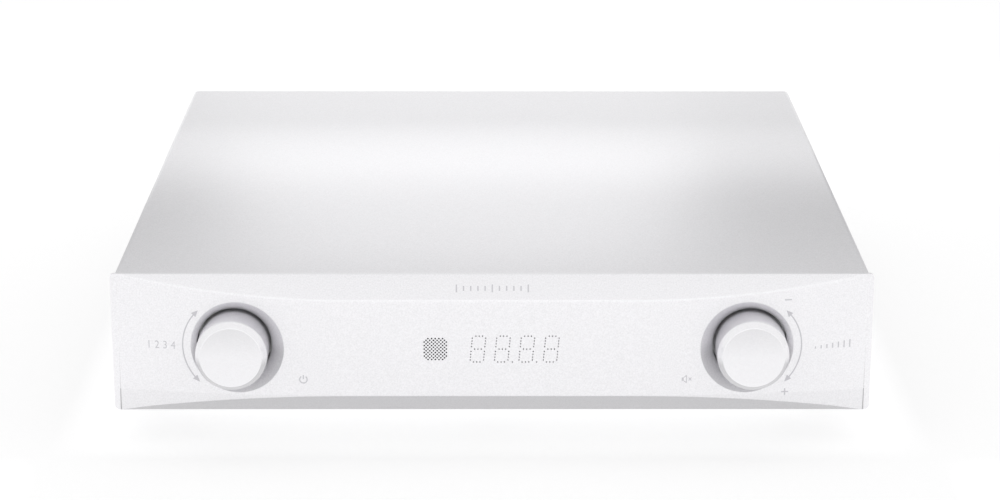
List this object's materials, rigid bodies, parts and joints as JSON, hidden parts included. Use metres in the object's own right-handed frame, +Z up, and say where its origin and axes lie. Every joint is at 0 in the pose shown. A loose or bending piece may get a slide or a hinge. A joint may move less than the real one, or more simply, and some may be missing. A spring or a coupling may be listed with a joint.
{
  "type": "integrated amplifier",
  "caption": "Half-width integrated stereo amplifier with a bowed aluminium front, dished push knobs, dot-matrix cut digits and rear speaker terminals.",
  "frame": {"origin": "middle of the overall length and width, on the surface the rubber feet stand on", "axes": "+X to the right seen from the front, +Y from the knobs to the rear sockets, +Z up"},
  "size_m": [0.235, 0.281, 0.055],
  "materials": {
    "face_aluminium": "fine bead-blasted clear anodised",
    "case_aluminium": "fine bead-blasted clear anodised",
    "rear_aluminium": "clear anodised",
    "knob_aluminium": "turned and clear anodised",
    "foot_aluminium": "turned and clear anodised",
    "pad_rubber": "matt black",
    "tray_steel": "silver powder coat",
    "black_screw": "black oxide",
    "bright_screw": "bright zinc plate",
    "shaft_steel": "turned",
    "black_plastic": "fine moulded grain",
    "red_plastic": "clear red over the metal core",
    "white_plastic": "moulded",
    "green_board": "solder mask",
    "gold_plate": "gold plated",
    "nickel_plate": "nickel plated",
    "glass_tube": "clear glass",
    "copper_winding": "taped and varnished copper",
    "can_sleeve": "shrink sleeve",
    "bare_aluminium": "mill finish",
    "grey_cable": "soft pvc",
    "red_wire": "pvc insulation"
  },
  "bodies": {
    "case": {"front_panel": "face_aluminium", "top_cover": "case_aluminium", "base_tray": "tray_steel", "rear_panel": "rear_aluminium", "front_bracket": "tray_steel", "feet": "foot_aluminium", "foot_pads": "pad_rubber", "foot_screws": "black_screw", "cover_screws": "bright_screw", "panel_screws": "bright_screw", "floor_screws": "black_screw", "input_encoder": "black_plastic", "volume_encoder": "black_plastic", "encoder_nuts": "bright_screw", "display_board": "green_board", "digit_display": "black_plastic", "infrared_receiver": "black_plastic", "mains_inlet": "black_plastic", "inlet_blades": "nickel_plate", "switch_frame": "black_plastic", "speaker_posts": "gold_plate", "post_collars": "black_plastic", "post_nuts": "gold_plate", "rca_shells": "gold_plate", "rca_inserts": "white_plastic", "optical_sockets": "black_plastic", "usb_socket": "nickel_plate", "transformer": "copper_winding", "transformer_pads": "pad_rubber", "transformer_plate": "bright_screw", "transformer_bolt": "bright_screw", "power_board": "green_board", "filter_capacitors": "can_sleeve", "amp_board": "green_board", "heat_spreader": "bare_aluminium", "power_transistors": "black_plastic", "output_inductors": "copper_winding", "input_board": "green_board", "board_fixings": "gold_plate", "ribbon_cable": "grey_cable", "internal_wires": "red_wire"},
    "input_push": {"input_plunger": "white_plastic"},
    "input_turn": {"input_knob": "knob_aluminium", "input_shaft": "shaft_steel"},
    "volume_push": {"volume_plunger": "white_plastic"},
    "volume_turn": {"volume_knob": "knob_aluminium", "volume_shaft": "shaft_steel"},
    "drawer": {"fuse_drawer": "black_plastic", "mains_fuse": "glass_tube"},
    "rocker": {"power_rocker": "black_plastic"},
    "flap_1": {"optical_flap_1": "black_plastic"},
    "flap_2": {"optical_flap_2": "black_plastic"},
    "washer_1": {"post_washer_1": "gold_plate"},
    "cap_1": {"post_cap_1": "red_plastic"},
    "washer_2": {"post_washer_2": "gold_plate"},
    "cap_2": {"post_cap_2": "black_plastic"},
    "washer_3": {"post_washer_3": "gold_plate"},
    "cap_3": {"post_cap_3": "red_plastic"},
    "washer_4": {"post_washer_4": "gold_plate"},
    "cap_4": {"post_cap_4": "black_plastic"}
  },
  "joints": [
    {"name": "input_push", "type": "slide", "parent": "case", "child": "input_push", "axis": [0, 1, 0], "range_m": [0, 0.0005], "stiffness_N_per_m": 2000, "springref_m": -0.0005},
    {"name": "input_turn", "type": "hinge", "parent": "input_push", "child": "input_turn", "pos_m": [-0.0796, -0.14047, 0.0328], "axis": [0, -1, 0], "continuous": true},
    {"name": "volume_push", "type": "slide", "parent": "case", "child": "volume_push", "axis": [0, 1, 0], "range_m": [0, 0.0005], "stiffness_N_per_m": 2000, "springref_m": -0.0005},
    {"name": "volume_turn", "type": "hinge", "parent": "volume_push", "child": "volume_turn", "pos_m": [0.0796, -0.14047, 0.0328], "axis": [0, -1, 0], "continuous": true},
    {"name": "drawer_pull", "type": "slide", "parent": "case", "child": "drawer", "axis": [0, 1, 0], "range_m": [0, 0.012]},
    {"name": "rocker_tip", "type": "hinge", "parent": "case", "child": "rocker", "pos_m": [-0.0678, 0.11347, 0.0328], "axis": [1, 0, 0], "range_deg": [-18, 0]},
    {"name": "flap_1_swing", "type": "hinge", "parent": "case", "child": "flap_1", "pos_m": [0.0817, 0.11507, 0.0291], "axis": [-1, 0, 0], "range_deg": [0, 86], "stiffness_Nm_per_rad": 0.0004, "springref_deg": -20.05},
    {"name": "flap_2_swing", "type": "hinge", "parent": "case", "child": "flap_2", "pos_m": [0.0817, 0.11507, 0.0459], "axis": [-1, 0, 0], "range_deg": [0, 86], "stiffness_Nm_per_rad": 0.0004, "springref_deg": -20.05},
    {"name": "cap_1_rise", "type": "slide", "parent": "case", "child": "washer_1", "axis": [0, 1, 0], "range_m": [0, 0.005]},
    {"name": "cap_1_turn", "type": "hinge", "parent": "washer_1", "child": "cap_1", "pos_m": [-0.0438, 0.11957, 0.0328], "axis": [0, 1, 0], "range_deg": [0, 1440]},
    {"name": "cap_2_rise", "type": "slide", "parent": "case", "child": "washer_2", "axis": [0, 1, 0], "range_m": [0, 0.005]},
    {"name": "cap_2_turn", "type": "hinge", "parent": "washer_2", "child": "cap_2", "pos_m": [-0.0248, 0.11957, 0.0328], "axis": [0, 1, 0], "range_deg": [0, 1440]},
    {"name": "cap_3_rise", "type": "slide", "parent": "case", "child": "washer_3", "axis": [0, 1, 0], "range_m": [0, 0.005]},
    {"name": "cap_3_turn", "type": "hinge", "parent": "washer_3", "child": "cap_3", "pos_m": [-0.0008, 0.11957, 0.0328], "axis": [0, 1, 0], "range_deg": [0, 1440]},
    {"name": "cap_4_rise", "type": "slide", "parent": "case", "child": "washer_4", "axis": [0, 1, 0], "range_m": [0, 0.005]},
    {"name": "cap_4_turn", "type": "hinge", "parent": "washer_4", "child": "cap_4", "pos_m": [0.0182, 0.11957, 0.0328], "axis": [0, 1, 0], "range_deg": [0, 1440]}
  ],
  "couplings": [
    {"joint": "cap_1_turn", "follows": "cap_1_rise", "rad_per_m": 5026.5},
    {"joint": "cap_2_turn", "follows": "cap_2_rise", "rad_per_m": 5026.5},
    {"joint": "cap_3_turn", "follows": "cap_3_rise", "rad_per_m": 5026.5},
    {"joint": "cap_4_turn", "follows": "cap_4_rise", "rad_per_m": 5026.5}
  ]
}
